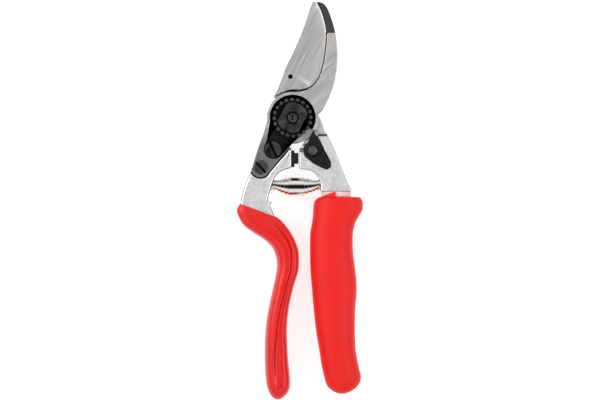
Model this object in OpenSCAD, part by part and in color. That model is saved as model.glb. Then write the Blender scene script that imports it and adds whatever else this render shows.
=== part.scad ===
// Bypass pruner with a rotating handle, closed, lying on its back.
// X to the right, Y to the blade tip, Z to the nut side, origin on the pivot axis at the bolt
// head's back face.

/* [Frames] */
// Height of the frames' back face
frame_back = 4; // [3.9:0.05:4.1]
// Height of the frames' front face
frame_front = 15; // [14.95:0.05:15.2]
// Radius of the moving frame's pivot boss
boss_r = 13.6; // [13:0.1:13.6]

/* [Blades] */
// Height of the sliding plane between leaf and hook
slide_z = 10; // [9.95:0.05:10]
// Thickness of the cutting leaf
leaf_t = 3; // [2.4:0.1:3.2]
// Thickness of the leaf's root disc behind the cheek
root_t = 1.7; // [1.4:0.1:1.7]
// Front face of the cheek ring and the hook
cheek_front = 14.8; // [14.6:0.1:14.8]
// Floor of the black recess for the nut
recess_floor = 13.2; // [12.8:0.1:13.4]
// Width of the ground strip along the cutting edge
bevel_w = 1.2; // [0.8:0.1:1.8]

/* [Pivot] */
// Radius of the bolt's head
bolt_head_r = 8.5; // [7:0.1:9]
// Radius of the bolt's shaft
bolt_r = 4; // [3.5:0.1:4.5]
// Tip radius of the nut's teeth
nut_r = 10.5; // [10:0.1:10.6]
// Number of teeth on the nut
nut_teeth = 20; // [16:2:24]

/* [Grip] */
// Sideways place of the grip's swivel axis
grip_x = 22.8; // [22.4:0.1:23]
// Radius of the grip's spindle
spindle_r = 4; // [3.6:0.1:4]
// Radius of the collar above the grip
collar_r = 8; // [7.4:0.1:8]
// Half thickness of the grip
grip_half_t = 9.4; // [9.2:0.1:9.4]

/* [Hidden] */
$fn = 96;
run_gap = 0.05;
mid_z = (frame_back + frame_front) / 2;
bolt_head_t = 3.4;
washer_t = 0.5;
cheek_back = slide_z + root_t + run_gap;
ring_r = 13.6;
recess_r = 12;
lip_back = 7.5;
bush_r = 5.5;
screw_shaft_r = 1.9;
segment_screw_at = [-10.3, -16.7];
anvil_screw_at = [-16.8, -26.1];
segment_top = 15.6;
catch_at = [10.5, -17.3];
catch_back = frame_front + 0.1;
catch_front = 17.2;
pocket_floor = 13;
frame_end_y = -38.9;
collar_end_y = -41.6;
spindle_end_y = -124;
core_r = 7.2;
core_end_y = -121;
core_cavity_y = -126;
clip_y = -121.6;
clip_r = 5.2;
spring_y = -36.5;
spring_ends = [-10.3, 14.1];
catch_bolt_r = 2;
catch_pin_at = [4.8, -17.1];
catch_pin_r = 0.5;
rivet_ring_r = 11.1;
rivet_r = 0.8;
rivet_angles = [80, 260];
frame_nut_r = 3;
bolt_thread_r = 3.1;
spindle_root_r = 3.3;
swivel_bush_r = 5.6;
spring_pin_r = 1.5;
// Height above every part, for through cuts
cut_top = 20;

// Point on a Catmull-Rom curve between b and c
function curve_point(a, b, c, d, t) =
    0.5 * (2 * b + (c - a) * t + (2 * a - 5 * b + 4 * c - d) * t * t + (3 * b - a - 3 * c + d) * t * t * t);
// Smooth curve through every point, each span cut in n steps
function curve(p, n = 5) =
    let (e = concat([2 * p[0] - p[1]], p, [2 * p[len(p) - 1] - p[len(p) - 2]]))
    concat([for (i = [1 : len(p) - 1], k = [0 : n - 1])
        curve_point(e[i - 1], e[i], e[i + 1], e[i + 2], k / n)], [p[len(p) - 1]]);
// Points on an arc round c from angle a to angle b
function arc(c, r, a, b, n = 12) = [for (i = [0 : n]) c + r * [cos(a + (b - a) * i / n),
    sin(a + (b - a) * i / n)]];
function unit(v) = v / norm(v);
// The same open path moved d to its left
function shifted(p, d) = [for (i = [0 : len(p) - 1])
    let (v = unit(p[min(i + 1, len(p) - 1)] - p[max(i - 1, 0)])) p[i] + d * [-v[1], v[0]]];
function reversed(p) = [for (i = [len(p) - 1 : -1 : 0]) p[i]];

// Cutting edge from the tip to the heel, with the leaf on its right-hand side
edge_line = curve([[12.9, 61], [15.6, 55.3], [17.5, 48], [17.85, 41.5], [17.3, 34.5], [15.9, 27],
    [13.4, 20.2], [8.7, 15.4], [4, 13.95]], 6);
leaf_spine = curve([[-10, 9.9], [-8.9, 13.4], [-4.6, 25.2], [0, 34.6], [4, 43.8], [9, 57.8],
    [10.2, 60.6]], 4);
hook_back = curve([[13.2, 1.6], [15.6, 3.9], [18.6, 9.4], [21.2, 16], [23, 24], [23.5, 33], [22.9, 42],
    [21.3, 49.5], [18.6, 57.2], [16.4, 60.3]], 5);
tang_edge = [[-13, -29.2], [0.26, -13.1], [8.5, -5.4]];
left_side = curve([[-13.2, 2.6], [-13.6, -1.1], [-15.1, -7.2], [-17.7, -14.4], [-19.9, -21.2],
    [-21.4, -26.5]], 4);
lower_left_side = curve([[-21.4, -26.5], [-24.1, -32.9], [-26.2, -39.1], [-27.1, -43.6]], 4);
left_throat = curve([[-0.7, -26.4], [-5.1, -27.6], [-8.6, -30.2], [-10.5, -34], [-11.7, -37.8],
    [-12.9, -42],
    [-12.6, -44.5], [-10.9, -47.5], [-8.4, -51], [-6, -54]], 4);
right_throat = curve([[14.6, -38.9], [14.5, -35], [13.4, -31.2], [10.9, -28.5], [7.6, -27.3],
    [4.1, -27]], 4);

// Rails of the fixed handle's coat, from its top edge to its end
coat_left = [[-27.9, -45.2], [-29.5, -49.3], [-26.4, -56], [-20.9, -60.4], [-14.6, -64.5], [-10.4, -69],
    [-8.4, -75.5], [-8.7, -81.5], [-10.5, -90], [-12.8, -101], [-14.3, -111.5], [-14.7, -125.5],
    [-14.1, -138.3], [-12.8, -144], [-11, -147], [-9.3, -148.4]];
coat_right = [[-8.2, -52.4], [-6.2, -53.9], [-3.4, -57], [-0.8, -60.6], [1.4, -64.9], [3, -69.7],
    [3.4, -75.5], [2.9, -81.2], [0.3, -89.8], [-2, -100.5], [-3, -111.5], [-2.5, -125.5],
    [-1.4, -138.5], [-2, -143.6], [-4.1, -146.7], [-6.4, -148.4]];
coat_half_t = [7, 7.7, 8.4, 8.9, 9.1, 9.2, 9.2, 9.2, 9.2, 9.2, 9.2, 9, 8.2, 6.9, 4.6, 2];
coat_squareness = [0.34, 0.42, 0.55, 0.68, 0.76, 0.8, 0.8, 0.8, 0.8, 0.8, 0.8, 0.8, 0.8, 0.8, 0.8, 0.8];
// Stations of the grip: place along Y, left side, right side, half thickness
grip_stations = [[-41.7, 14.2, 35.2, 9.1], [-42.6, 12.6, 36.2, 9.4], [-44.6, 11.2, 37, 9.4],
    [-48, 10.8, 37, 9.4],
    [-51.5, 10.6, 35.2, 9.4], [-55.5, 10.1, 33, 9.4], [-61, 9.2, 31.8, 9.4], [-70, 9.1, 31.8, 9.4],
    [-80, 9.3, 33, 9.4], [-90, 10.1, 33.8, 9.4], [-101, 11, 33, 9.4], [-113, 12.4, 32.8, 9.4],
    [-122, 13.9, 33.2, 9.4], [-130, 15.1, 34.6, 9.3], [-137, 16.7, 36, 8.8], [-141, 18, 34.6, 7.8],
    [-143.8, 20.6, 31.5, 5.9], [-145.4, 24, 27.8, 3]];

// Closed skin over rings that all have the same number of points
module loft(rings) {
    n = len(rings[0]);
    m = len(rings);
    sides = [for (i = [0 : m - 2], j = [0 : n - 1]) each [
        [i * n + j, i * n + (j + 1) % n, (i + 1) * n + j],
        [i * n + (j + 1) % n, (i + 1) * n + (j + 1) % n, (i + 1) * n + j]]];
    first = [[for (j = [n - 1 : -1 : 0]) j]];
    last = [[for (j = [0 : n - 1]) (m - 1) * n + j]];
    polyhedron([for (r = rings) each r], concat(sides, first, last));
}
// Rounded section between two side points, with half thickness t
function section(l, r, t, squareness, n = 24) = [for (k = [0 : n - 1])
    let (a = 360 * k / n, c = cos(a), s = sin(a),
        u = sign(c) * pow(abs(c), squareness), v = sign(s) * pow(abs(s), squareness),
        q = (l + r) / 2 + u * (r - l) / 2)
    [q[0], q[1], mid_z + v * t]];

module slab(z0, z1) { translate([0, 0, z0]) linear_extrude(z1 - z0) children(); }
module rod(at, r, z0, z1) { translate([at[0], at[1], z0]) cylinder(r = r, h = z1 - z0); }
module disc_shape(at, r) { translate(at) circle(r = r); }

// Core of the fixed handle, inside its coat
module handle_core() {
    left_edge = curve([[-27.1, -43.6], [-27.6, -46.5], [-26.8, -50.5], [-24.4, -54.4], [-18.6, -58.6],
        [-11.6, -63.6], [-7.6, -69], [-5.8, -76], [-6.4, -83], [-9, -95], [-11.4, -108], [-12.1, -122],
        [-11.6, -137]], 4);
    right_edge = curve([[-4.4, -137], [-5, -122], [-5.2, -110], [-4.2, -98], [-1.6, -87], [0.6, -78],
        [0.8, -71], [-0.8, -65], [-4, -59.4], [-8.6, -54.6], [-10.3, -50.2], [-12.6, -44.8]], 4);
    slab(frame_back, frame_front) polygon(concat(left_edge, arc([-8, -138], 3.4, 195, 345, 8), right_edge));
}

// Lower end of the fixed frame, above the coated core
module frame_tail() {
    inner_side = reversed([for (p = left_throat) if (p[1] > -45.5) p]);
    polygon(concat(lower_left_side, inner_side));
}

module fixed_frame() {
    color("gainsboro") {
        difference() {
            union() {
                slab(frame_back, frame_front) polygon(concat(left_side, lower_left_side,
                    reversed([for (p = left_throat) if (p[1] > -45.5) p]),
                    [[-0.5, -25.6], [-0.5, -17.2], [-1.3, -15.8], [-2, -15.9], [-0.4, -13.9]]));
                handle_core();
                translate([-13.5, spring_y, mid_z]) rotate([0, 90, 0]) cylinder(r = spring_pin_r, h = 5);
            }
            rod([0, 0], ring_r + 0.5, frame_back - 1, frame_front + 1);
            slab(cheek_back, frame_front + 1) tang_shape(0.4);
            for (at = [segment_screw_at, anvil_screw_at]) {
                rod(at, screw_shaft_r, frame_back - 1, frame_front + 1);
                rod(at, frame_nut_r + 0.1, frame_back - 1, frame_back + 2.4);
            }
        }
    }
}

// Outline of the ring and the tang, grown by g round the tang's end
module tang_shape(g = 0) {
    end_c = [-16.9, -26.4];
    polygon(concat([for (p = left_side) p + [-4 * g, 0]],
        arc(end_c, 5.0 + g, 183, 318, 14),
        [[-13 + g, -29.2], [0.26 + g, -13.1 - g], [8.5 + g, -5.4 - g]], [[11.8, -6.9], [13.2, 2.6]]));
}

module anvil_plan() {
    union() {
        circle(r = ring_r);
        disc_shape([12.4, -6.3], 1.1);
        polygon(concat(hook_back, [[14, 61.2]], shifted(edge_line, 0.15), [[0, 13.4], [0, 2]]));
    }
}

module anvil_blade() {
    tip_drop = 2.4;
    color("silver") difference() {
        union() {
            slab(cheek_back, cheek_front) difference() {
                union() {
                    anvil_plan();
                    tang_shape();
                }
                polygon([[8.5, -5.4], [11.9, -6.9], [9, -20], [-14, -40], [-13, -29.2], [0.26, -13.1]]);
            }
            difference() {
                slab(lip_back, cheek_back) union() {
                    anvil_plan();
                    polygon(concat(shifted(edge_line, 0.4), reversed(shifted(edge_line, -2))));
                }
                rod([0, 0], 18, lip_back - 1, slide_z + run_gap);
                rod([0, 0], ring_r + 0.5, lip_back - 1, cheek_back);
                slab(slide_z - run_gap, cheek_back)
                    polygon(concat(shifted(edge_line, 0.15), [[-14, 14], [-14, 62]]));
            }
        }
        rod([0, 0], bolt_r, 0, cut_top);
        for (at = [segment_screw_at, anvil_screw_at]) rod(at, screw_shaft_r, 0, cut_top);
        // black recess for the nut and the segment
        slab(recess_floor, cut_top) union() {
            circle(r = recess_r);
            disc_shape(segment_screw_at, 4.8);
            polygon([[-10.9, 4.4], [-13.9, -12.7], [-14.9, -15.4], [-9, -21.5], [-6.6, -20.4],
                [0.26, -13.1],
                [8.5, -5.4], [11, -4]]);
        }
        // front of the hook falls towards the tip, then to the ground facet
        translate([0, 18, cheek_front]) rotate([-3.2, 0, 0]) translate([-5, 0, 0]) cube([40, 60, 10]);
        translate([0, 44.7, cheek_front - tip_drop]) rotate([-7, 0, 0])
            translate([-5, 0, 0]) cube([40, 30, 10]);
    }
}

module slotted_head(at, r, z0, t, slot_angle) {
    difference() {
        union() {
            rod(at, r, z0, z0 + t - 0.4);
            translate([at[0], at[1], z0 + t - 0.4]) cylinder(r1 = r, r2 = r - 0.4, h = 0.4, $fn = 96);
        }
        translate([at[0], at[1], z0 + t]) rotate(slot_angle) cube([3 * r, 1.2, 2.2], center = true);
    }
}

module anvil_screw() {
    color("dimgray") union() {
        slotted_head(anvil_screw_at, 3.7, cheek_front, 1.5, 133);
        rod(anvil_screw_at, screw_shaft_r, frame_back + 0.4, cheek_front + 0.2);
    }
}

module segment_screw() {
    color("dimgray") union() {
        slotted_head(segment_screw_at, 4.2, segment_top, 1.6, 115);
        rod(segment_screw_at, screw_shaft_r, frame_back + 0.4, segment_top + 0.2);
    }
}

module frame_nuts() {
    color("dimgray") for (at = [segment_screw_at, anvil_screw_at])
        difference() {
            translate([at[0], at[1], frame_back + 0.3]) cylinder(r = frame_nut_r, h = 2.1, $fn = 6);
            rod(at, screw_shaft_r, 0, cut_top);
        }
}

// Toothed rim in plan; g adds clearance
module tooth_rim(g = 0) {
    union() {
        circle(r = 8.5 + g);
        for (i = [0 : nut_teeth - 1]) rotate(92 + i * 360 / nut_teeth)
            translate([nut_r - 0.9, 0]) circle(r = 0.9 + g, $fn = 24);
        for (i = [0 : nut_teeth - 1]) rotate(92 + i * 360 / nut_teeth)
            translate([8, -0.9 - g]) square([1.7, 1.8 + 2 * g]);
    }
}

module toothed_segment() {
    tooth_reach = 8.9;
    half_w = 4.6;
    color([0.08, 0.08, 0.08]) difference() {
        slab(recess_floor, segment_top) difference() {
            union() {
                disc_shape(segment_screw_at, 4.7);
                rotate(atan2(segment_screw_at[1], segment_screw_at[0]))
                    translate([tooth_reach, -half_w]) square([norm(segment_screw_at) - tooth_reach,
                        2 * half_w]);
            }
            tooth_rim(0.12);
        }
        rod(segment_screw_at, screw_shaft_r, 0, cut_top);
    }
}

module pivot_nut() {
    teeth_top = 16;
    platform_top = 17.4;
    color([0.16, 0.16, 0.16]) difference() {
        union() {
            slab(recess_floor, teeth_top) tooth_rim();
            intersection() {
                rod([0, 0], 8, teeth_top - 0.1, platform_top);
                translate([0, 0, teeth_top]) rotate(62) cube([20, 12.2, 4], center = true);
            }
        }
        rod([0, 0], bolt_thread_r, 0, cut_top);
        rod([0, 0], bolt_thread_r + 0.2, platform_top - 0.8, cut_top);
        rod([-0.95, -5.05], 0.45, platform_top - 0.3, cut_top);
    }
}

module pivot_bolt() {
    color("dimgray") difference() {
        union() {
            rod([0, 0], bolt_head_r, 0, bolt_head_t - 0.6);
            translate([0, 0, bolt_head_t - 0.6]) cylinder(r1 = bolt_head_r, r2 = bolt_head_r - 0.6,
                h = 0.6);
            rod([0, 0], bolt_r, bolt_head_t - 0.1, recess_floor);
            rod([0, 0], bolt_thread_r, recess_floor - 0.1, 16.9);
            rod([0, 0], 2.5, 16.8, 17.3);
        }
        translate([0, 0, 17.3]) cube([0.7, 3.2, 0.8], center = true);
    }
}

module rubber_stop() {
    color([0.07, 0.07, 0.07]) slab(frame_back + 1.5, frame_front - 1.2) union() {
        translate([-0.5, -26]) square([1.4, 8.8]);
        translate([0.8, -24.2]) square([2.2, 5.7]);
    }
}

module moving_frame() {
    color("gainsboro") difference() {
        union() {
            rod([0, 0], boss_r, frame_back, slide_z);
            slab(frame_back, slide_z) frame_plan();
            difference() {
                slab(slide_z - 0.1, frame_front) frame_plan();
                rod([0, 0], 15.4, slide_z, frame_front + 1);
                translate([10, -9.6, slide_z]) cube([20, 20, 10]);
            }
            translate([11.8, spring_y, mid_z]) rotate([0, 90, 0]) cylinder(r = spring_pin_r, h = 4);
        }
        rod([0, 0], bush_r, 0, cut_top);
        slab(pocket_floor, frame_front + 1) pocket_plan();
        rod(catch_at, catch_bolt_r, frame_back + 2, frame_front + 1);
        rod(catch_pin_at, catch_pin_r, frame_back + 3, frame_front + 1);
        for (a = rivet_angles) rotate(a) rod([rivet_ring_r, 0], rivet_r, 0, cut_top);
        translate([grip_x, frame_end_y + 1, mid_z]) rotate([-90, 0, 0]) translate([0, 0, -1.1])
            cylinder(r = spindle_root_r, h = 8);
    }
}

// Plan of the moving frame below its boss
module frame_plan() {
    polygon(concat([[13.4, 1.6]], curve([[14.5, 0.4], [16.2, -3.8], [18.6, -9.5], [22.4, -17.8],
        [26.4, -28.3],
        [30.9, -38.9]], 4), right_throat, [[3.3, -26.2], [3.3, -18.2], [3.6, -16.6], [5.6, -13.4],
            [8, -9]]));
}

module pocket_plan() {
    polygon(concat([[9, -9], [11, -6.4], [19.7, -23.6]], arc([17.9, -24.9], 1.9, 20, -120, 8),
        [[11, -23.6], [6.4, -19.9], [6.6, -14.8]]));
}

module cutting_blade() {
    bevel_back = 1.1;
    cut_edge = shifted(edge_line, -0.15);
    relief = ring_r + 0.5;
    color("silver") difference() {
        union() {
            slab(slide_z, slide_z + root_t) polygon(concat(cut_edge, [[2.9, 13.75], [0, 11],
                [-5, 8]], leaf_spine, [[11.4, 61.6]]));
            // the leaf stands proud of its root outside the cheek ring
            slab(slide_z + root_t - 0.1, slide_z + leaf_t) polygon(concat(cut_edge,
                arc([0, 0], relief, 78, 134, 16), leaf_spine, [[11.4, 61.6]]));
            rod([0, 0], ring_r - 0.3, slide_z, slide_z + root_t);
        }
        // ground strip along the cutting edge
        slab(slide_z + bevel_back, cut_top) polygon(concat(
            [for (p = shifted(edge_line, 1)) if (p[0] > 8) p],
            reversed([for (p = shifted(edge_line, -bevel_w)) if (p[0] > 8) p])));
        rod([0, 0], bush_r, 0, cut_top);
        rod([-1.2, 21.7], 1.25, slide_z + 1.2, cut_top);
        for (a = rivet_angles) rotate(a) rod([rivet_ring_r, 0], rivet_r, 0, cut_top);
    }
}

module blade_rivets() {
    color("silver") for (a = rivet_angles) rotate(a) union() {
        rod([rivet_ring_r, 0], rivet_r, frame_back, slide_z + root_t);
        rod([rivet_ring_r, 0], rivet_r + 1.1, frame_back - 0.8, frame_back);
    }
}

module pivot_bush() {
    color("goldenrod") difference() {
        rod([0, 0], bush_r, frame_back, slide_z + root_t);
        rod([0, 0], bolt_r + run_gap, 0, cut_top);
    }
}

module thrust_washer() {
    color("goldenrod") difference() {
        rod([0, 0], bolt_head_r, bolt_head_t + run_gap, frame_back);
        rod([0, 0], bolt_r + run_gap, 0, cut_top);
    }
}

// A turned piece on the grip's axis, from y0 down to y1
module on_grip_axis(y0, y1, r) {
    translate([grip_x, y0, mid_z]) rotate([90, 0, 0]) cylinder(r = r, h = y0 - y1);
}

module grip_spindle() {
    color("silver") difference() {
        union() {
            on_grip_axis(frame_end_y, spindle_end_y, spindle_r);
            on_grip_axis(frame_end_y + 7.8, frame_end_y, spindle_root_r);
        }
        difference() {
            on_grip_axis(clip_y, clip_y - 1, spindle_r + 1);
            on_grip_axis(clip_y, clip_y - 1, spindle_r - 0.6);
        }
    }
}

module grip_collar() {
    color("mistyrose") difference() {
        on_grip_axis(frame_end_y, collar_end_y, collar_r);
        on_grip_axis(frame_end_y + 1, collar_end_y - 1, spindle_r);
    }
}

module spindle_clip() {
    color("dimgray") difference() {
        on_grip_axis(clip_y, clip_y - 1, clip_r);
        on_grip_axis(clip_y + 1, clip_y - 2, spindle_r - 0.6);
        translate([grip_x - 1, clip_y - 2, mid_z]) cube([2, 4, 9]);
    }
}

module catch_seat() {
    color([0.06, 0.06, 0.06]) difference() {
        slab(pocket_floor, frame_front) pocket_plan();
        rod([0, 0], 15.5, 0, cut_top);
        rod(catch_at, catch_bolt_r, 0, cut_top);
    }
}

module catch_bolt() {
    color("dimgray") union() {
        rod(catch_at, catch_bolt_r, frame_back + 2, catch_front + 0.1);
        translate([catch_at[0], catch_at[1], catch_front + 0.1]) rotate(10) cylinder(r = 2.6, h = 1.5,
            $fn = 6);
    }
}

module catch_pin() {
    head_r = 1.35;
    color("silver") union() {
        rod(catch_pin_at, catch_pin_r, frame_back + 3, frame_front + 0.2);
        translate([catch_pin_at[0], catch_pin_at[1], frame_front + 0.1]) cylinder(r1 = head_r,
            r2 = 0.9, h = 1.5);
    }
}

module thumb_catch() {
    hub_r = 4.3;
    pad_top = catch_front + 0.6;
    color([0.1, 0.1, 0.1]) difference() {
        union() {
            slab(catch_back, catch_front - 0.5) union() {
                disc_shape(catch_at, hub_r);
                polygon([[9.2, -9.4], [10.6, -7], [11.2, -7.1], [15.6, -15.8], [12, -20], [7, -15.4]]);
                pad_shape();
            }
            rod(catch_at, hub_r - 0.8, catch_back, catch_front);
            slab(catch_back, pad_top) intersection() {
                pad_shape();
                polygon([[15.8, -18], [30, -18], [30, -30], [9, -30], [9, -22.6]]);
            }
        }
        rod(catch_at, catch_bolt_r + run_gap, 0, cut_top);
    }
}

// Thumb pad of the catch in plan
module pad_shape() {
    polygon(concat([[13.8, -17.6], [16.2, -18.2], [18.9, -23.4]], arc([17.5, -24.6], 1.5, 20, -120, 8),
        [[11.8, -23.2], [8.6, -20.6], [9.6, -19]]));
}

module grip_core() {
    color("silver") difference() {
        on_grip_axis(collar_end_y - 1, core_cavity_y, core_r);
        on_grip_axis(collar_end_y, core_cavity_y - 1, swivel_bush_r);
    }
}

module grip_bushes() {
    color("goldenrod") for (y = [collar_end_y - 1, core_end_y + 8])
        difference() {
            on_grip_axis(y, y - 8, swivel_bush_r);
            on_grip_axis(y + 1, y - 9, spindle_r + run_gap);
        }
}

module grip_sleeve() {
    lug_in = collar_r + 0.3;
    lug_out = 9.45;
    lug_low = -42.4;
    color([0.93, 0.17, 0.15]) union() {
        difference() {
            loft([for (s = grip_stations) section([s[1], s[0]], [s[2], s[0]], s[3], 0.86, 28)]);
            on_grip_axis(-30, core_cavity_y, core_r);
        }
        // stop lug: a ramp round the collar, highest at the front
        intersection() {
            difference() {
                on_grip_axis(-39.1, lug_low, lug_out);
                on_grip_axis(-39, lug_low - 0.1, lug_in);
            }
            translate([grip_x - 9, lug_low, mid_z]) linear_extrude(12)
                polygon([[0, 0], [8.6, 0], [8.6, 3.3], [7.6, 3.3], [1, 0.6]]);
        }
    }
}

module fixed_coating() {
    color([0.88, 0.1, 0.08]) difference() {
        loft([for (i = [0 : len(coat_left) - 1])
            section(coat_left[i], coat_right[i], coat_half_t[i], coat_squareness[i], 24)]);
        handle_core();
        slab(frame_back, frame_front) frame_tail();
    }
}

module volute_spring() {
    half = (spring_ends[1] - spring_ends[0]) / 2;
    centre_x = (spring_ends[1] + spring_ends[0]) / 2;
    // turns step up from the ends to the middle
    steps = [[half, 2.4], [half - 2, 2.9], [half - 3.8, 3.5], [half - 5.6, 4.2], [half - 7.4, 5.1]];
    color("silver") translate([centre_x, spring_y, mid_z]) rotate([0, 90, 0]) difference() {
        union() for (s = steps) cylinder(r = s[1], h = 2 * s[0], center = true);
        cylinder(r = spring_pin_r + 0.1, h = 2 * half + 2, center = true);
    }
}

fixed_frame();
fixed_coating();
anvil_blade();
anvil_screw();
segment_screw();
frame_nuts();
toothed_segment();
pivot_nut();
pivot_bolt();
rubber_stop();
moving_frame();
cutting_blade();
blade_rivets();
pivot_bush();
thrust_washer();
grip_spindle();
grip_collar();
spindle_clip();
catch_seat();
catch_bolt();
catch_pin();
thumb_catch();
grip_core();
grip_bushes();
grip_sleeve();
volute_spring();
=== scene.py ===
import math

import bmesh
import bpy
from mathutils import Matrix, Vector


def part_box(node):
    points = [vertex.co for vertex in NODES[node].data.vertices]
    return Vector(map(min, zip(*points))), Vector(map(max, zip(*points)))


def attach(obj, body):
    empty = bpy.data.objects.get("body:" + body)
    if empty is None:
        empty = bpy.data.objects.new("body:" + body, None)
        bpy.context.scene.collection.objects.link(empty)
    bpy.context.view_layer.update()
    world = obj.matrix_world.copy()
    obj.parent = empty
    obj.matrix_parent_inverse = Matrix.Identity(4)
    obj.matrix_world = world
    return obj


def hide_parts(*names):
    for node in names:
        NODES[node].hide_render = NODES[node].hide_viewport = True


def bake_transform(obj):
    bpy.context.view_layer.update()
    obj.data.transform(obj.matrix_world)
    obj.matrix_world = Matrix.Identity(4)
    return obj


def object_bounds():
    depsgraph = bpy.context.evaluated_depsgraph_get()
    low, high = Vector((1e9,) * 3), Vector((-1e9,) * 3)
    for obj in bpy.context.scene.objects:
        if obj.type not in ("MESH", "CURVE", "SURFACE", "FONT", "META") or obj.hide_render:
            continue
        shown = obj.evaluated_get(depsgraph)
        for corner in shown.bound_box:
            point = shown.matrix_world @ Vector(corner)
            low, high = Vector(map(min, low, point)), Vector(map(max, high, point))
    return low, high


# Looks of the bypass pruner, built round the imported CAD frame.
# Lengths are millimetres here; new_object() and the masks turn them into metres.
MM = 0.001
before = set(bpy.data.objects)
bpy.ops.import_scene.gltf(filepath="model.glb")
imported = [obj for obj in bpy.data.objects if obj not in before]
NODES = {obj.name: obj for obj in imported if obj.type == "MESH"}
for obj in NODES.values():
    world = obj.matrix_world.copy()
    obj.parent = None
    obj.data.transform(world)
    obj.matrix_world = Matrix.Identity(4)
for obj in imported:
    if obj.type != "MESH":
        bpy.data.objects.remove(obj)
CAD_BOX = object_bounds()


def span(node, axis):
    """A node's lowest and highest place along an axis at rest."""
    low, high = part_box(node)
    return getattr(low, axis) / MM, getattr(high, axis) / MM


def middle(node, axis):
    return sum(span(node, axis)) / 2


FRONT_Z = span("fixed_frame", "z")[1]
MID_Z = middle("fixed_frame", "z")
LEAF_BACK, LEAF_FRONT = span("cutting_blade", "z")
RECESS_FLOOR = span("pivot_nut", "z")[0]
GRIP_X = middle("grip_collar", "x")
GRIP_RIGHT = span("grip_sleeve", "x")[1]
SPRING_X = middle("volute_spring", "x")
SPRING_Y = middle("volute_spring", "y")
SPRING_REACH = (span("volute_spring", "x")[1] - span("volute_spring", "x")[0]) / 2

# the leaf's root disc, round the pivot at x = y = 0
ROOT_R = 13.3
ROOT_FRONT = LEAF_BACK + 1.7
RIVET_RING_R = 11.1
RIVET_ANGLES = (80, 260)
# the punched dimple in the leaf's face
DIMPLE = (-1.2, 21.7)
DIMPLE_R = 1.25
DIMPLE_FLOOR = LEAF_BACK + 1.2
# the hook: the back and front of its lip, the start of the facet at its tip and of its tang
LIP_BACK, LIP_FRONT = 9.96, 12.2
FACET_Y = 44.7
TANG_TOP = -4
# the black recess that the nut sits in
RECESS_BACK = 12.9
RECESS_R = 12.15
# height of each slot's floor, and of the nut's teeth and platform
ANVIL_SLOT_Z = 15.6
SEGMENT_SLOT_Z = 16.6
BOLT_SLOT_Z = 17.1
TEETH_TOP = 16.15
PLATFORM_TOP = 17.3
# ground steel: its tone, and the directions of the leaf's lines and scratches from +X
BLADE_TONE = (0.72, 0.72, 0.705)
LEAF_GRIND, LEAF_SCRATCH = 63, 57


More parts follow.
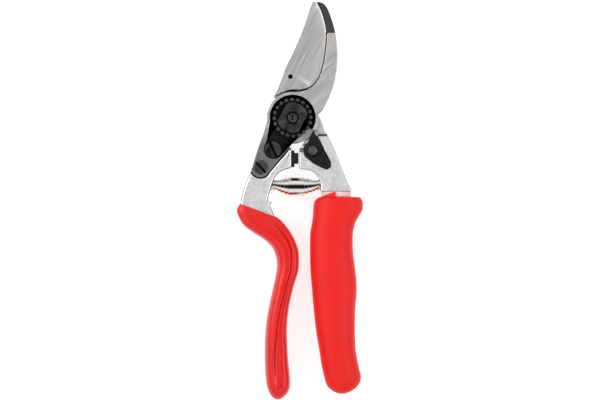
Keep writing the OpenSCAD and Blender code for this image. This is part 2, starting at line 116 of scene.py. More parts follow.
# ---------------------------------------------------------------- node helpers
class Shader:
    """A Principled material with short ways to add procedural detail in the object's own metres."""

    def __init__(self, name, colour, roughness, metallic=0.0):
        self.material = bpy.data.materials.new(name)
        self.material.use_nodes = True
        self.tree = self.material.node_tree
        self.bsdf = self.tree.nodes["Principled BSDF"]
        self.set("Base Color", (*colour, 1.0))
        self.set("Roughness", roughness)
        self.set("Metallic", metallic)
        self.coords = self.add("ShaderNodeTexCoord").outputs["Object"]

    def add(self, kind, **settings):
        node = self.tree.nodes.new(kind)
        for key, value in settings.items():
            setattr(node, key, value)
        return node

    def set(self, socket, value):
        self.bsdf.inputs[socket].default_value = value

    def link(self, out, socket):
        self.tree.links.new(out, socket)

    def noise(self, scale, detail=3.0, vector=None):
        node = self.add("ShaderNodeTexNoise")
        node.inputs["Scale"].default_value = scale
        node.inputs["Detail"].default_value = detail
        node.inputs["Roughness"].default_value = 0.55
        self.link(vector or self.coords, node.inputs["Vector"])
        return node.outputs["Fac"]

    def strokes(self, angle, along, across, detail=4.0):
        """Noise drawn out into grinding lines that run at angle from +X; along and across are per metre."""
        turn = self.add("ShaderNodeMapping")
        turn.inputs["Rotation"].default_value = (0, 0, -math.radians(angle))
        self.link(self.coords, turn.inputs["Vector"])
        stretch = self.add("ShaderNodeMapping")
        stretch.inputs["Scale"].default_value = (along, across, along)
        self.link(turn.outputs["Vector"], stretch.inputs["Vector"])
        return self.noise(1.0, detail, stretch.outputs["Vector"])

    def math(self, operation, a, b=None):
        node = self.add("ShaderNodeMath", operation=operation)
        for socket, value in zip(node.inputs, (a, b)):
            if isinstance(value, (int, float)):
                socket.default_value = value
            elif value is not None:
                self.link(value, socket)
        return node.outputs["Value"]

    def remap(self, fac, low, high, out_low=0.0, out_high=1.0):
        node = self.add("ShaderNodeMapRange")
        ends = (("From Min", low), ("From Max", high), ("To Min", out_low), ("To Max", out_high))
        for name, value in ends:
            node.inputs[name].default_value = value
        self.link(fac, node.inputs["Value"])
        return node.outputs["Result"]

    def mix(self, fac, a, b):
        node = self.add("ShaderNodeMix", data_type="RGBA")
        self.link(fac, node.inputs["Factor"])
        for socket, value in ((node.inputs["A"], a), (node.inputs["B"], b)):
            if isinstance(value, tuple):
                socket.default_value = (*value, 1.0)
            else:
                self.link(value, socket)
        return node.outputs["Result"]

    # the masks below take places from place() or radius(), and limits in millimetres
    def place(self):
        node = self.add("ShaderNodeSeparateXYZ")
        self.link(self.coords, node.inputs["Vector"])
        return node.outputs["X"], node.outputs["Y"], node.outputs["Z"]

    def above(self, place, limit):
        return self.math("GREATER_THAN", place, limit * MM)

    def below(self, place, limit):
        return self.math("LESS_THAN", place, limit * MM)

    def near(self, place, centre, reach):
        away = self.math("SUBTRACT", place, centre * MM)
        return self.below(self.math("ABSOLUTE", away), reach)

    def fade(self, place, start, end):
        return self.remap(place, start * MM, end * MM)

    def every(self, first, *others):
        """1 where all the masks are 1."""
        for mask in others:
            first = self.math("MULTIPLY", first, mask)
        return first

    def radius(self, centre=(0, 0)):
        """Distance from an upright axis, the pivot's unless told otherwise."""
        x, y, _ = self.place()
        x, y = (self.math("SUBTRACT", p, c * MM) for p, c in zip((x, y), centre))
        return self.math("SQRT", self.math("ADD", self.math("MULTIPLY", x, x), self.math("MULTIPLY", y, y)))

    def normal_z(self, kind):
        facing = self.add("ShaderNodeSeparateXYZ")
        self.link(self.add("ShaderNodeNewGeometry").outputs[kind], facing.inputs["Vector"])
        return facing.outputs["Z"]

    def wall(self, steep):
        """1 on faces that stand up steeply, which the materials darken with painted shade."""
        return self.math("LESS_THAN", self.math("ABSOLUTE", self.normal_z("True Normal")), steep)

    def upward(self, low, high):
        """0 to 1 as a rounded face turns to look straight up."""
        return self.remap(self.normal_z("Normal"), low, high)

    def base(self):
        """What feeds the base colour so far."""
        return self.bsdf.inputs["Base Color"].links[0].from_socket

    def colour(self, out):
        self.link(out, self.bsdf.inputs["Base Color"])

    def rough(self, out):
        self.link(out, self.bsdf.inputs["Roughness"])

    def bump(self, height, distance, strength=1.0):
        node = self.add("ShaderNodeBump")
        node.inputs["Distance"].default_value = distance
        node.inputs["Strength"].default_value = strength
        self.link(height, node.inputs["Height"])
        self.link(node.outputs["Normal"], self.bsdf.inputs["Normal"])


# ---------------------------------------------------------------- materials
def grey(level):
    return (level, level, level)


def forged_aluminium():
    """Cast grain on the flats, with painted shade on the neck by the hook's cheek, in a dark seam and on a
    dark rim of steep walls.
    """
    neck_left, neck_top, neck_foot = 13.2, -8.0, -10.1
    seam_back, seam_right, seam_foot = 11.5, 2.0, -34.0
    s = Shader("forged_aluminium", (0.8, 0.8, 0.805), 0.42, 1.0)
    cloud = s.noise(110, 4)
    grain = s.noise(1500, 3)
    mottle = s.math("ADD", s.math("MULTIPLY", cloud, 0.5), s.math("MULTIPLY", grain, 0.5))
    cast = s.mix(s.remap(mottle, 0.38, 0.62), (0.72, 0.72, 0.73), grey(0.90))
    x, y, z = s.place()
    # painted shadow on the sunk neck below the hook's cheek
    neck_shade = s.every(s.near(z, LEAF_BACK, 0.3), s.above(x, neck_left),
                   s.fade(y, neck_top, neck_top - 0.8), s.above(y, neck_foot))
    # painted shade in a low seam on the frame
    seam_shade = s.every(s.below(z, ROOT_FRONT + 0.2), s.above(z, seam_back),
                   s.below(x, seam_right), s.above(y, seam_foot))
    # painted shade on the steep walls near the front face
    rim_shade = s.every(s.wall(0.66), s.above(z, FRONT_Z - 1.0))
    shaded = s.mix(neck_shade, cast, grey(0.08))
    s.colour(s.mix(seam_shade, s.mix(rim_shade, shaded, grey(0.04)), grey(0.006)))
    s.rough(s.remap(grain, 0.3, 0.7, 0.38, 0.52))
    s.bump(mottle, 0.00008, 0.6)
    return s.material


def ground_steel(name, tone, angle, scratch_angle, spread=0.22):
    """Steel with fine grinding lines at angle and coarser scratches; spread is how far its tone varies."""
    s = Shader(name, tone, 0.3, 1.0)
    fine = s.strokes(angle, 45, 3600)
    coarse = s.strokes(scratch_angle, 38, 1500, 5)
    both = s.math("ADD", s.math("MULTIPLY", fine, 0.6), s.math("MULTIPLY", coarse, 0.4))
    dark = tuple((1 - spread) * c for c in tone)
    light = tuple(min(1.0, (1 + 0.7 * spread) * c) for c in tone)
    s.colour(s.mix(s.remap(both, 0.36, 0.64), dark, light))
    s.rough(s.remap(fine, 0.3, 0.7, 0.30, 0.44))
    s.bump(both, 0.00002, 0.45)
    return s


def leaf_steel():
    """Fine grinding lines along the leaf, with painted shade in its dimple, on its walls and on the root
    under its heel.
    """
    s = ground_steel("leaf_steel", BLADE_TONE, LEAF_GRIND, LEAF_SCRATCH, 0.13)
    ground = s.base()
    x, y, z = s.place()
    # painted shade in the punched dimple
    dimple_depth = s.near(z, LEAF_BACK + 2, 0.88)
    dimple = s.every(s.below(s.radius(DIMPLE), DIMPLE_R + 0.03), dimple_depth)
    # painted shade on the root disc where it shows under the leaf's heel
    sunk = s.every(s.below(z, ROOT_FRONT + 0.05), s.above(z, LEAF_BACK + 0.1), s.above(y, 8))
    heel_shade = s.every(sunk, s.fade(x, -7.5, -2.5))
    # painted shade on the leaf's steep walls and under its heel
    edged = s.mix(s.math("MAXIMUM", heel_shade, s.wall(0.3)), ground, grey(0.02))
    s.colour(s.mix(dimple, edged, grey(0.012)))
    return s.material


def anvil_steel():
    """Ground hook with a warm patch, a painted dark reflection on the facet at its tip, painted shade on
    its tang, its steep walls and its lip in the gap under the leaf, and a black recess.
    """
    s = ground_steel("anvil_steel", BLADE_TONE, 40, 37, 0.26)
    ground = s.base()
    _, y, z = s.place()
    wall = s.wall(0.6)
    flat = s.math("SUBTRACT", 1.0, wall)
    warm = s.every(s.fade(y, FACET_Y - 8.7, FACET_Y - 0.7), s.below(y, FACET_Y))
    hook = s.mix(s.math("MULTIPLY", warm, 0.6), ground, (0.74, 0.68, 0.66))
    # painted shade: the tang darkens, in blotches, below TANG_TOP
    tang_shade_blotches = s.mix(s.noise(240, 4), grey(0.24), grey(0.36))
    toned = s.mix(s.fade(y, TANG_TOP, TANG_TOP - 10), hook, tang_shade_blotches)
    # painted reflection: the facet at the tip is darkened
    facet_reflection = s.every(s.above(y, FACET_Y), flat, s.above(z, LIP_BACK + 0.14))
    # painted shade on the hook's steep walls
    tipped = s.mix(wall, s.mix(facet_reflection, toned, (0.085, 0.08, 0.078)), grey(0.10))
    # painted shade in the gap under the leaf's edge, on the lip and the inner wall
    lip = s.near(z, LIP_BACK, 0.08)
    inner = s.every(wall, s.below(z, LIP_FRONT))
    gap = s.every(s.math("MAXIMUM", lip, inner), s.above(z, LIP_BACK - 0.16), s.above(y, 10))
    floor = s.every(s.below(z, RECESS_FLOOR + 0.7), s.above(z, RECESS_BACK), s.below(y, 12.5))
    black = s.math("MAXIMUM", floor, s.below(s.radius(), RECESS_R))
    s.colour(s.mix(black, s.mix(gap, tipped, grey(0.045)), grey(0.004)))
    return s.material


def black_oxide(name, tone, wear, slot_z=0.0):
    """Blackened steel; below slot_z it gets painted shade, which darkens a slot's floor."""
    s = Shader(name, tone, 0.38, 0.9)
    cloud = s.noise(150, 3)
    grain = s.noise(3000, 2)
    wear_and_slot_shade = s.mix(s.remap(cloud, 0.3, 0.8), tone, wear)
    if slot_z:
        _, _, z = s.place()
        # painted shade on the slot's floor
        wear_and_slot_shade = s.mix(s.below(z, slot_z), wear_and_slot_shade, grey(0.003))
    s.colour(wear_and_slot_shade)
    s.rough(s.remap(cloud, 0.3, 0.7, 0.30, 0.46))
    s.bump(grain, 0.00003, 0.4)
    return s.material


def nut_steel():
    """Grey platform, painted shade at the root between the teeth, painted highlights on the tooth tops and
    painted shade in the well round the bolt.
    """
    s = Shader("nut_black_oxide", grey(0.1), 0.36, 0.9)
    cloud = s.noise(170, 3)
    # tone of the platform's wear and of the painted highlight on the tooth tops
    wear_and_highlight_tone = (0.10, 0.10, 0.098)
    platform = s.mix(s.remap(cloud, 0.35, 0.7), (0.020, 0.020, 0.019), wear_and_highlight_tone)
    tooth_root_r, tooth_top_r, well_r = 8.6, 9.4, 3.35
    radius = s.radius()
    _, _, z = s.place()
    # painted shade at the tooth roots and a painted highlight on the tooth tops
    teeth_shade_and_highlight = s.mix(s.fade(radius, tooth_root_r, tooth_top_r), grey(0.004), wear_and_highlight_tone)
    faces = s.mix(s.below(z, TEETH_TOP), platform, teeth_shade_and_highlight)
    # painted shade in the well round the bolt
    well_shade = s.every(s.below(radius, well_r), s.below(z, PLATFORM_TOP))
    s.colour(s.mix(well_shade, faces, grey(0.003)))
    s.rough(s.remap(cloud, 0.3, 0.7, 0.3, 0.46))
    s.bump(s.noise(2600, 2), 0.00003, 0.4)
    return s.material


def polished_steel(name, tone, roughness, crown_reflection=None):
    """Bright metal; crown is a painted reflection, its colour along the top of a rounded face."""
    s = Shader(name, tone, roughness, 1.0)
    haze = s.noise(400, 3)
    plain = s.mix(s.remap(haze, 0.35, 0.65), tuple(0.92 * c for c in tone), tone)
    s.colour(s.mix(s.upward(0.955, 0.985), plain, crown_reflection) if crown_reflection else plain)
    s.rough(s.remap(haze, 0.3, 0.7, roughness * 0.8, roughness * 1.25))
    s.bump(s.noise(2600, 2), 0.00001, 0.2)
    return s.material


def dipped_coat():
    """Glossy red vinyl with a faint orange peel."""
    s = Shader("dipped_coat", (0.70, 0.004, 0.003), 0.26)
    cloud = s.noise(45, 3)
    orange_peel = s.noise(420, 2)
    s.colour(s.mix(s.remap(cloud, 0.3, 0.7), (0.67, 0.003, 0.002), (0.74, 0.005, 0.0035)))
    s.rough(s.remap(orange_peel, 0.3, 0.7, 0.31, 0.37))
    s.bump(orange_peel, 0.00001, 0.08)
    s.set("Specular IOR Level", 0.45)
    return s.material


def grip_plastic():
    """Satin red plastic with a fine moulded texture."""
    s = Shader("grip_plastic", (0.76, 0.008, 0.005), 0.5)
    cloud = s.noise(38, 3)
    texture = s.noise(1900, 2)
    s.colour(s.mix(s.remap(cloud, 0.3, 0.7), (0.74, 0.007, 0.0045), (0.79, 0.010, 0.007)))
    s.rough(s.remap(texture, 0.3, 0.7, 0.44, 0.58))
    s.bump(texture, 0.00004, 0.35)
    s.set("Specular IOR Level", 0.3)
    return s.material


def rough_polymer(name, tone, roughness, scale, spread=0.3):
    """Matt plastic or rubber with a moulded texture; spread is how far it varies."""
    s = Shader(name, tone, roughness)
    texture = s.noise(scale, 3)
    darker = tuple((1 - spread) * c for c in tone)
    lighter = tuple(min(1.0, (1 + spread) * c) for c in tone)
    s.colour(s.mix(s.remap(texture, 0.3, 0.7), darker, lighter))
    s.rough(s.remap(texture, 0.3, 0.7, roughness * 0.85, roughness * 1.15))
    s.bump(texture, 0.00005, spread)
    s.set("Specular IOR Level", 0.25)
    return s


def catch_polymer():
    """Black lever with a darker ring of painted shade round its bolt."""
    s = rough_polymer("catch_black", grey(0.007), 0.38, 1600)
    plain = s.base()
    away = s.radius((middle("catch_bolt", "x"), middle("catch_bolt", "y")))
    groove_inner, groove_outer = 2.4, 3.45
    # painted shade in a ring round the bolt
    groove_shade = s.every(s.below(away, groove_outer), s.above(away, groove_inner))
    s.colour(s.mix(groove_shade, plain, grey(0.001)))
    return s.material


ALUMINIUM = forged_aluminium()
LEAF = leaf_steel()
# painted highlight: a brighter copy of the blade steel for the ground strip
LEAF_STRIP_HIGHLIGHT = ground_steel("leaf_edge_highlight_steel", (0.95, 0.935, 0.91), LEAF_GRIND, LEAF_SCRATCH, 0.05).material
ANVIL = anvil_steel()
NUT_BLACK = nut_steel()
SEGMENT_BLACK = black_oxide("segment_black_oxide", grey(0.005), grey(0.022))
SCREW_BLACK = black_oxide("screw_black_oxide", grey(0.05), grey(0.13))
ANVIL_SCREW = black_oxide("anvil_screw_oxide", grey(0.012), grey(0.12), ANVIL_SLOT_Z)
SEGMENT_SCREW = black_oxide("segment_screw_oxide", grey(0.012), grey(0.12), SEGMENT_SLOT_Z)
BOLT_END = black_oxide("bolt_end_oxide", grey(0.05), grey(0.14), BOLT_SLOT_Z)
BRIGHT = polished_steel("polished_steel", (0.72, 0.72, 0.71), 0.2)
# the spring's grey crown is a painted dark reflection along the top of its turns
SPRING = polished_steel("spring_steel", (0.80, 0.79, 0.74), 0.08, grey(0.10))
PIN = polished_steel("pin_steel", (0.34, 0.34, 0.33), 0.3)
CATCH_BOLT = black_oxide("catch_bolt_oxide", (0.09, 0.09, 0.088), (0.20, 0.20, 0.195))
BRONZE = polished_steel("bronze", (0.62, 0.42, 0.2), 0.3)
COAT = dipped_coat()
GRIP = grip_plastic()
RUBBER = rough_polymer("black_rubber", (0.006, 0.012, 0.012), 0.7, 1400).material
CATCH = catch_polymer()
SEAT = rough_polymer("seat_black", grey(0.004), 0.6, 1600).material
COLLAR = rough_polymer("pale_collar", (0.86, 0.66, 0.63), 0.4, 300, 0.05).material


# ---------------------------------------------------------------- CAD nodes that stay
def dress(node, material, bevel):
    """Keeps a CAD node, merges its flat faces, rounds its edges and gives it a material."""
    o = NODES[node]
    o.data.materials.clear()
    o.data.materials.append(material)
    for polygon in o.data.polygons:
        polygon.use_smooth = True
    weld = o.modifiers.new("weld", "WELD")
    weld.merge_threshold = 1e-6
    flat = o.modifiers.new("flat", "DECIMATE")
    flat.decimate_type = "DISSOLVE"
    flat.angle_limit = math.radians(1.0)
    if bevel:
        edge = o.modifiers.new("edge", "BEVEL")
        edge.width = bevel * MM
        edge.segments = 4 if bevel >= 0.5 else 2
        edge.limit_method = "ANGLE"
        edge.angle_limit = math.radians(38)
        edge.use_clamp_overlap = False
        edge.miter_outer = "MITER_ARC"
    normals = o.modifiers.new("normals", "WEIGHTED_NORMAL")
    normals.keep_sharp = True
    normals.weight = 80


for name, material, bevel in (
    ("fixed_frame", ALUMINIUM, 1.1),
    ("moving_frame", ALUMINIUM, 0.8),
    ("anvil_blade", ANVIL, 0.22),
    ("pivot_nut", NUT_BLACK, 0.3),
    ("pivot_bolt", BOLT_END, 0.2),
    ("toothed_segment", SEGMENT_BLACK, 0.25),
    ("anvil_screw", ANVIL_SCREW, 0.25),
    ("segment_screw", SEGMENT_SCREW, 0.25),
    ("frame_nuts", SCREW_BLACK, 0.2),
    ("rubber_stop", RUBBER, 0.3),
    ("blade_rivets", BRIGHT, 0.2),
    ("pivot_bush", BRONZE, 0.0),
    ("thrust_washer", BRONZE, 0.1),
    ("grip_spindle", BRIGHT, 0.1),
    ("grip_collar", COLLAR, 0.3),
    ("spindle_clip", SCREW_BLACK, 0.1),
    ("catch_seat", SEAT, 0.2),
    ("catch_bolt", CATCH_BOLT, 0.25),
    ("catch_pin", PIN, 0.15),
    ("thumb_catch", CATCH, 0.3),
    ("grip_core", ALUMINIUM, 0.1),
    ("grip_bushes", BRONZE, 0.1),
):
    dress(name, material, bevel)


# ---------------------------------------------------------------- mesh helpers
def curve(points, steps=6):
    """Catmull-Rom curve through every point, as tuples of any length."""
    p = [Vector(q) for q in points]
    p = [2 * p[0] - p[1], *p, 2 * p[-1] - p[-2]]
    out = []
    for a, b, c, d in zip(p, p[1:], p[2:], p[3:]):
        for k in range(steps):
            t = k / steps
            out.append(0.5 * (2 * b + (c - a) * t + (2 * a - 5 * b + 4 * c - d) * t * t
                              + (3 * b - a - 3 * c + d) * t ** 3))
    out.append(p[-2])
    return out


def new_object(name, vertices, faces, material):
    mesh = bpy.data.meshes.new(name)
    mesh.from_pydata([Vector(v) * MM for v in vertices], [], faces)
    mesh.materials.append(material)
    bm = bmesh.new()
    bm.from_mesh(mesh)
    bmesh.ops.recalc_face_normals(bm, faces=bm.faces)
    bm.to_mesh(mesh)
    bm.free()
    for polygon in mesh.polygons:
        polygon.use_smooth = True
    o = bpy.data.objects.new(name, mesh)
    bpy.context.scene.collection.objects.link(o)
    return o


def skin(rings):
    """Vertices and faces of a closed skin over rings with the same number of points."""
    n = len(rings[0])
    vertices = [v for ring in rings for v in ring]
    faces = [(i * n + j, i * n + (j + 1) % n, (i + 1) * n + (j + 1) % n, (i + 1) * n + j)
             for i in range(len(rings) - 1) for j in range(n)]
    faces.append(tuple(range(n))[::-1])
    faces.append(tuple(range((len(rings) - 1) * n, len(rings) * n)))
    return vertices, faces


def polar(r, degrees):
    a = math.radians(degrees)
    return r * math.cos(a), r * math.sin(a)


def power(value, exponent):
    """A signed power, which squares off or rounds the sides of a section."""
    return math.copysign(abs(value) ** exponent, value)


# ---------------------------------------------------------------- fixed handle's dipped coat
# its left and right outline, and at each pair of points its half thickness and squareness
COAT_LEFT = [(-27.9, -45.2), (-29.5, -49.3), (-26.4, -56), (-20.9, -60.4), (-14.6, -64.5), (-10.4, -69),
             (-8.4, -75.5), (-8.7, -81.5), (-10.5, -90), (-12.8, -101), (-14.3, -111.5), (-14.7, -125.5),
             (-14.1, -138.3), (-12.8, -144), (-11, -147), (-9.3, -148.4)]
COAT_RIGHT = [(-8.2, -52.4), (-6.2, -53.9), (-3.4, -57), (-0.8, -60.6), (1.4, -64.9), (3, -69.7),
              (3.4, -75.5), (2.9, -81.2), (0.3, -89.8), (-2, -100.5), (-3, -111.5), (-2.5, -125.5),
              (-1.4, -138.5), (-2, -143.6), (-4.1, -146.7), (-6.4, -148.4)]
COAT_HALF_T = [7, 7.7, 8.4, 8.9, 9.1, 9.2, 9.2, 9.2, 9.2, 9.2, 9.2, 9, 8.2, 6.9, 4.6, 2]
COAT_SQUARENESS = [0.34, 0.42, 0.55, 0.68, 0.76, 0.8, 0.8, 0.8, 0.8, 0.8, 0.8, 0.8, 0.8, 0.8, 0.8, 0.8]
# the hollow in each face: the ridge it falls from, across the handle, and its depth
HOLLOW = [(0.44, 0), (0.44, 0.3), (0.46, 0.9), (0.46, 1.3), (0.39, 1.6), (0.3, 1.7), (0.19, 1.7),
          (0.12, 1.7), (0.11, 1.8), (0, 1.9), (-0.1, 2), (-0.34, 2.1), (-0.45, 1.3), (-0.45, 0),
          (-0.45, 0), (-0.45, 0)]


def smooth(t):
    """0 to 1 with soft ends."""
    t = max(0.0, min(1.0, t))
    return t * t * (3 - 2 * t)


def hollow_shape(u, ridge):
    """0 left of the ridge, falling quickly to the floor of the hollow, rising gently to the right edge."""
    t = (u - ridge) / (0.96 - ridge)
    return smooth(t / 0.3) * (1 - smooth((t - 0.3) / 0.7))


def round_edges(o, width):
    edge = o.modifiers.new("edge", "BEVEL")
    edge.width = width * MM
    edge.segments = 3
    edge.angle_limit = math.radians(50)


def dipped_handle():
    """Coat with rounded sides and a long hollow in its front and back."""
    around = 160
    rails = curve([(*l, *r) for l, r in zip(COAT_LEFT, COAT_RIGHT)], 7)
    forms = curve([(t, e, *h) for t, e, h in zip(COAT_HALF_T, COAT_SQUARENESS, HOLLOW)], 7)
    rings = []
    for rail, form in zip(rails, forms):
        left, right = Vector(rail[:2]), Vector(rail[2:])
        half_t, squareness, ridge, depth = form
        ring = []
        for k in range(around):
            a = 2 * math.pi * k / around
            u = power(math.cos(a), squareness)
            v = power(math.sin(a), squareness) * half_t
            v -= math.copysign(1, v) * min(max(depth, 0) * hollow_shape(u, ridge), abs(v))
            q = (left + right) / 2 + u * (right - left) / 2
            ring.append((q.x, q.y, MID_Z + v))
        rings.append(ring)
    o = new_object("dipped_handle_coat", *skin(rings), COAT)
    round_edges(o, 0.8)
    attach(o, "fixed_half")
    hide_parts("fixed_coating")


# ---------------------------------------------------------------- rotating grip
# place along Y, left, right and half thickness
GRIP_STATIONS = [(-41.7, 14.2, 35.2, 9.1), (-42.6, 12.6, 36.2, 9.4), (-44.6, 11.2, 37, 9.4),
                 (-48, 10.8, 37, 9.4), (-51.5, 10.6, 35.2, 9.4), (-55.5, 10.1, 33, 9.4),
                 (-61, 9.2, 31.8, 9.4), (-70, 9.1, 31.8, 9.4), (-80, 9.3, 33, 9.4),
                 (-90, 10.1, 33.8, 9.4), (-101, 11, 33, 9.4), (-113, 12.4, 32.8, 9.4),
                 (-122, 13.9, 33.2, 9.4), (-130, 15.1, 34.6, 9.3), (-137, 16.7, 36, 8.8),
                 (-141, 18, 34.6, 7.8), (-143.8, 20.6, 31.5, 5.9), (-145.4, 24, 27.8, 3)]


def rotating_grip():
    """Sleeve with a swell for the palm and one at its end, and the lug that stops its turn."""
    around = 96
    squareness = 0.86
    thickest = 9.4
    rings = []
    for y, left, right, half_t in curve(GRIP_STATIONS, 6):
        right = min(right, GRIP_RIGHT)
        ring = []
        for k in range(around):
            a = 2 * math.pi * k / around
            x = (left + right) / 2 + power(math.cos(a), squareness) * (right - left) / 2
            ring.append((x, y, MID_Z + power(math.sin(a), squareness) * min(half_t, thickest)))
        rings.append(ring)
    o = new_object("rotating_grip_sleeve", *skin(rings), GRIP)
    round_edges(o, 0.6)
    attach(o, "grip")
    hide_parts("grip_sleeve")
    stop_lug()


def stop_lug():
    """Ramp round the collar, highest at the front."""
    inner, outer, base = 8.3, 9.42, -42.6
    low_top, rise = -42.0, 2.9
    front_angle, reach = 92, 62
    corner = 0.3
    steps = 16
    rings = []
    for k in range(steps + 1):
        t = k / steps
        a = math.radians(front_angle + reach * (1 - t))
        top = low_top + rise * min(1.0, t * 1.08)
        section = ((inner, base), (outer, base), (outer, top - corner), (outer - corner, top), (inner, top))
        rings.append([(GRIP_X + r * math.cos(a), y, MID_Z + r * math.sin(a)) for r, y in section])
    o = new_object("grip_stop_lug", *skin(rings), GRIP)
    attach(o, "grip")


# ---------------------------------------------------------------- cutting leaf
# the cutting edge and the spine, both from the tip down, and the width of the ground strip
EDGE = [(12.9, 61), (15.6, 55.3), (17.5, 48), (17.85, 41.5), (17.3, 34.5), (15.9, 27), (13.4, 20.2),
        (8.7, 15.4), (4, 13.95)]
SPINE = [(10.6, 61.2), (8.8, 57.4), (3.9, 43.8), (0, 34.6), (-4.6, 25.2), (-8.9, 13.4), (-10, 9.9)]
STRIP = 1.15
# the strip's face at the edge and at STRIP, and the start of the hollow-ground face behind it
STRIP_LOW, STRIP_HIGH, FACE_LOW = 1.85, 2.0, 2.3
# distances from the edge of a row's first points, and shares of the rest of the row
EDGE_COLUMNS = (0, 0.4, STRIP, 1.3, 2.2)
FACE_COLUMNS = (0.12, 0.26, 0.42, 0.6, 0.78, 0.92, 0.985, 1.0)
# round clearance between the leaf's arc and the hook's cheek ring
RELIEF_R = ROOT_R + 0.8


def boolean(target, cutter, operation):
    """Applies one exact boolean and drops the cutter."""
    m = target.modifiers.new(operation, "BOOLEAN")
    m.operation = operation
    m.object = cutter
    m.solver = "EXACT"
    bpy.context.view_layer.update()
    dg = bpy.context.evaluated_depsgraph_get()
    made = bpy.data.meshes.new_from_object(target.evaluated_get(dg))
    target.modifiers.clear()
    target.data = made
    bpy.data.objects.remove(cutter)


def turned(name, profile, material, sides=96):
    """Solid turned round the pivot; profile is a closed list of (radius, height)."""
    n = len(profile)
    vertices = []
    for k in range(sides):
        a = 2 * math.pi * k / sides
        vertices += [(r * math.cos(a), r * math.sin(a), z) for r, z in profile]
    faces = []
    for i in range(sides):
        a, b = i * n, ((i + 1) % sides) * n
        faces += [(a + j, a + (j + 1) % n, b + (j + 1) % n, b + j) for j in range(n)]
    return new_object(name, vertices, faces, material)


def plug(centre, r, low, high):
    """Upright cutter that drills a round hole."""
    x, y = centre
    turns = [2 * math.pi * k / 32 for k in range(32)]
    rings = [[(x + r * math.cos(a), y + r * math.sin(a), z) for a in turns] for z in (low, high)]
    return new_object("cutter", *skin(rings), LEAF)


def leaf_height(d, length, ground):
    """Height of the leaf's face at d from its edge, on a row of that length.

    ground is 1 where the edge is sharpened and 0 where it is blunt.
    """
    full = LEAF_FRONT - LEAF_BACK
    edge_width, edge_drop = 0.4, 0.3
    spine_width, spine_drop = 0.25, 0.12
    grind_width = 15
    if d <= STRIP:
        sharp = STRIP_LOW + (STRIP_HIGH - STRIP_LOW) * min(1.0, d / edge_width)
    else:
        t = min(1.0, (d - STRIP) / grind_width)
        sharp = FACE_LOW + (full - FACE_LOW) * (2 * t - t * t)
    blunt = full - edge_drop * max(0.0, 1 - d / edge_width)
    spine = spine_drop * max(0.0, 1 - (length - d) / spine_width)
    return LEAF_BACK + sharp * ground + blunt * (1 - ground) - spine


def leaf_outline():
    """The leaf's edge from the tip round its heel to the spine, just clear of the hook."""
    clear_x, clear_y = -0.35, 0.12
    heel_gap, heel_start, heel_length = 0.45, 11.5, 5
    cut = []
    for p in curve(EDGE, 12):
        gap = heel_gap * smooth((heel_start - p.x) / heel_length)
        cut.append(p + Vector((clear_x, clear_y + gap)))
    heel = [polar(RELIEF_R + more, a) for a, more in ((88, 0.8), (105, 0.45), (118, 0.2), (130, 0))]
    return cut + curve([(3.3, 14.6), *heel, (-10.1, 10.2)], 8)


def leaf_row(e, p):
    """Front and back points of one row from the edge at e to the spine at p."""
    length = (p - e).length
    # the edge is sharpened down to the heel, which is the part below heel_top
    heel_top, blunt_x, sharp_x = 22, 9.2, 11.0
    ground = 1.0
    if e.y < heel_top:
        ground = max(0.0, min(1.0, (e.x - blunt_x) / (sharp_x - blunt_x)))
    # rows shorter than this have their first points closer together
    full_row = 6.0
    reach = [c * min(1.0, length / full_row) for c in EDGE_COLUMNS]
    rest = length - reach[-1]
    reach += [reach[-1] + rest * f for f in FACE_COLUMNS]
    front, back = [], []
    for d in reach:
        q = e + (p - e) * (d / max(length, 1e-6))
        height = leaf_height(d, max(length, 3), ground) if length > 1.5 else LEAF_BACK + 2.2
        front.append((q.x, q.y, height))
        back.append((q.x, q.y, LEAF_BACK))
    return front + back


def leaf_blank():
    """The leaf without its root, with a painted highlight on the ground strip, which gets its own brighter
    steel.
    """
    rows = 90
    edge, spine = leaf_outline(), curve(SPINE, 18)
    vertices = []
    for i in range(rows + 1):
        vertices += leaf_row(sample(edge, i / rows), sample(spine, i / rows))
    n = len(EDGE_COLUMNS) + len(FACE_COLUMNS)
    faces = []
    for i in range(rows):
        a, b = i * 2 * n, (i + 1) * 2 * n
        for j in range(n - 1):
            faces.append((a + j, a + j + 1, b + j + 1, b + j))
            faces.append((a + n + j, b + n + j, b + n + j + 1, a + n + j + 1))
        faces.append((a, b, b + n, a + n))
        faces.append((a + n - 1, a + 2 * n - 1, b + 2 * n - 1, b + n - 1))
    faces.append(tuple(range(n)) + tuple(range(2 * n - 1, n - 1, -1)))
    last = rows * 2 * n
    faces.append(tuple(range(last + n - 1, last - 1, -1)) + tuple(range(last + n, last + 2 * n)))
    leaf = new_object("cutting_leaf", vertices, faces, LEAF)
    # the strip's faces take the painted highlight steel
    leaf.data.materials.append(LEAF_STRIP_HIGHLIGHT)
    lower = (LEAF_BACK + STRIP_LOW - 0.15) * MM
    upper = (LEAF_BACK + STRIP_HIGH + 0.05) * MM
    for polygon in leaf.data.polygons:
        heights = [leaf.data.vertices[i].co.z for i in polygon.vertices]
        if min(heights) > lower and max(heights) < upper and polygon.center.y > 16.5 * MM:
            polygon.material_index = 1
    return leaf


def root_bridge():
    """Joins the leaf to its root disc, under the hook's cheek; it is widest at the heel."""
    inner = ROOT_R - 1
    narrowest, widest = RELIEF_R + 0.8, 17.9
    start, step = 57, 3
    rings = []
    for k in range(26):
        outer = min(widest, narrowest + 0.56 * max(0, 6.8 - k))
        section = ((inner, LEAF_BACK), (outer, LEAF_BACK), (outer, ROOT_FRONT), (inner, ROOT_FRONT))
        rings.append([(*polar(r, start + step * k), z) for r, z in section])
    return new_object("bridge", *skin(rings), LEAF)


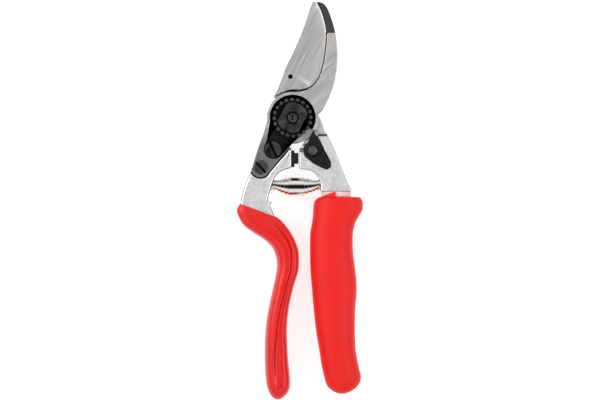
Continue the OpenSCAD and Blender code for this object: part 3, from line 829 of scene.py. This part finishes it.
def cutting_leaf():
    """Leaf with a face that thins to the ground strip along its edge, on its root disc."""
    bore, corner = 5.5, 0.2
    rivet_hole_r = 1.2
    leaf = leaf_blank()
    root = turned("root", [(bore, LEAF_BACK), (ROOT_R, LEAF_BACK), (ROOT_R, ROOT_FRONT - corner),
                           (ROOT_R - corner, ROOT_FRONT), (bore, ROOT_FRONT)], LEAF)
    boolean(leaf, root, "UNION")
    boolean(leaf, root_bridge(), "UNION")
    boolean(leaf, plug(DIMPLE, DIMPLE_R, DIMPLE_FLOOR, LEAF_FRONT + 2), "DIFFERENCE")
    for a in RIVET_ANGLES:
        drill = plug(polar(RIVET_RING_R, a), rivet_hole_r, LEAF_BACK - 1, LEAF_FRONT + 2)
        boolean(leaf, drill, "DIFFERENCE")
    split = leaf.modifiers.new("split", "EDGE_SPLIT")
    split.split_angle = math.radians(24)
    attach(leaf, "moving_half")
    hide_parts("cutting_blade")


def sample(points, s):
    """Point at share s of a polyline's length."""
    lengths = [(b - a).length for a, b in zip(points, points[1:])]
    left = s * sum(lengths)
    for a, b, step in zip(points, points[1:], lengths):
        if left <= step:
            return a + (b - a) * (left / step)
        left -= step
    return points[-1].copy()


# ---------------------------------------------------------------- volute spring
# each turn on one side of the middle: its place, its drop below the outermost turn, its width
SPRING_TURNS = [(4.9, 0.75, 3.0), (6.9, 1.4, 2.6), (8.7, 1.95, 2.4), (10.3, 2.45, 2.4)]
SPRING_BOW = 1.4
STRIP_HALF_T = 0.3


def bowed(x):
    """Place along Y of the spring's centre line, which the closed handles bend a little."""
    t = (x - SPRING_X) / SPRING_REACH
    return SPRING_Y + SPRING_BOW * t * t


def spring_strip(phases, form, width):
    """Rings of a flat strip wound round X; form(phase) gives its middle x and radius."""
    corner = 0.12
    half, t = width / 2, STRIP_HALF_T
    outline = [(-half + corner, -t), (half - corner, -t), (half, -t + corner), (half, t - corner),
               (half - corner, t), (-half + corner, t), (-half, t - corner), (-half, -t + corner)]
    rings = []
    for phase in phases:
        x, radius = form(phase)
        c, s = math.cos(phase), math.sin(phase)
        rings.append([(x + u, bowed(x + u) + (radius + v) * c, MID_Z + (radius + v) * s)
                      for u, v in outline])
    return rings


def phases(start, turns, steps):
    return [start + 2 * math.pi * turns * k / steps for k in range(steps + 1)]


def spring_turn(side, place, drop, width, outer):
    """One turn of the wound strip, which steps down over the last towards an end."""
    start = 0.4 + 1.3 * place

    def form(phase):
        t = (phase - start) / (2 * math.pi)
        return SPRING_X + side * (place - 0.3 + 0.5 * t), outer - 0.35 - drop + 0.1 * t
    return spring_strip(phases(start, 1.02, 72), form, width)


def volute_spring():
    """Double volute spring: a wide middle turn, four turns to each side and the two ends."""
    low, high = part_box("volute_spring")
    outer = (high.z - low.z) / 2 / MM
    end = SPRING_REACH - 0.9
    strips = []
    for side in (-1, 1):
        for place, drop, width in SPRING_TURNS:
            strips.append(spring_turn(side, place, drop, width, outer))
        strips.append(spring_strip(phases(0, 1, 72), lambda phase: (SPRING_X + side * end, 2.1), 1.8))
    strips.append(spring_strip(phases(0.2, 1.04, 96),
                               lambda phase: (SPRING_X, outer - 0.32 - 0.28 * (phase - 0.2) / 6.5), 8.4))
    vertices, faces = [], []
    for rings in strips:
        points, quads = skin(rings)
        faces += [tuple(i + len(vertices) for i in quad) for quad in quads]
        vertices += points
    o = new_object("volute_spring_turns", vertices, faces, SPRING)
    split = o.modifiers.new("split", "EDGE_SPLIT")
    split.split_angle = math.radians(30)
    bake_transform(o)
    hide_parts("volute_spring")


dipped_handle()
rotating_grip()
cutting_leaf()
volute_spring()


# ---------------------------------------------------------------- studio
def area_light(name, place, target, size, power_w):
    data = bpy.data.lights.new(name, "AREA")
    data.shape = "RECTANGLE"
    data.size, data.size_y = size
    data.energy = power_w
    o = bpy.data.objects.new(name, data)
    o.location = place
    o.rotation_mode = "QUATERNION"
    o.rotation_quaternion = (Vector(target) - Vector(place)).to_track_quat("-Z", "Y")
    bpy.context.scene.collection.objects.link(o)


def pale_floor(height):
    bpy.ops.mesh.primitive_plane_add(size=6, location=(0, 0, height))
    floor = bpy.context.object
    floor.name = "floor"
    s = Shader("pale_floor", grey(0.45), 0.9)
    s.set("Specular IOR Level", 0.1)
    s.set("Emission Color", (1, 1, 1, 1))
    s.set("Emission Strength", 0.72)
    floor.data.materials.append(s.material)


def studio_world():
    """Dark low band, bright walls and a softer ceiling with a dark patch straight overhead."""
    stops = [(0.0, 0.04), (0.2, 0.08), (0.36, 1.0), (0.84, 1.0), (0.95, 0.85), (0.98, 0.05)]
    world = bpy.data.worlds.new("studio")
    world.use_nodes = True
    bpy.context.scene.world = world
    tree = world.node_tree
    background = tree.nodes["Background"]
    coords = tree.nodes.new("ShaderNodeTexCoord")
    split = tree.nodes.new("ShaderNodeSeparateXYZ")
    ramp = tree.nodes.new("ShaderNodeValToRGB")
    tree.links.new(coords.outputs["Generated"], split.inputs["Vector"])
    tree.links.new(split.outputs["Z"], ramp.inputs["Fac"])
    while len(ramp.color_ramp.elements) < len(stops):
        ramp.color_ramp.elements.new(0.5)
    for element, (at, level) in zip(ramp.color_ramp.elements, stops):
        element.position = at
        element.color = (*grey(level), 1)
    tree.links.new(ramp.outputs["Color"], background.inputs["Color"])
    background.inputs["Strength"].default_value = 1.0


def overhead_camera():
    """Camera straight above the tool, with view_width metres of the tool's middle plane in view."""
    height = 2.0
    view_width = 0.3166
    data = bpy.data.cameras.new("camera")
    data.sensor_width = 36
    data.lens = data.sensor_width * (height - MID_Z * MM) / view_width
    camera = bpy.data.objects.new("camera", data)
    camera.location = (0.00385, -0.0433, height)
    bpy.context.scene.view_settings.view_transform = "Standard"
    bpy.context.scene.collection.objects.link(camera)
    bpy.context.scene.camera = camera


def studio():
    low, high = CAD_BOX
    centre = (low + high) / 2
    pale_floor(low.z - 0.0002)
    studio_world()
    area_light("left_softbox", (-0.9, 0.35, 0.8), centre, (0.5, 1.0), 6)
    area_light("right_softbox", (0.9, -0.2, 0.9), centre, (0.3, 0.9), 2.5)
    overhead_camera()


studio()
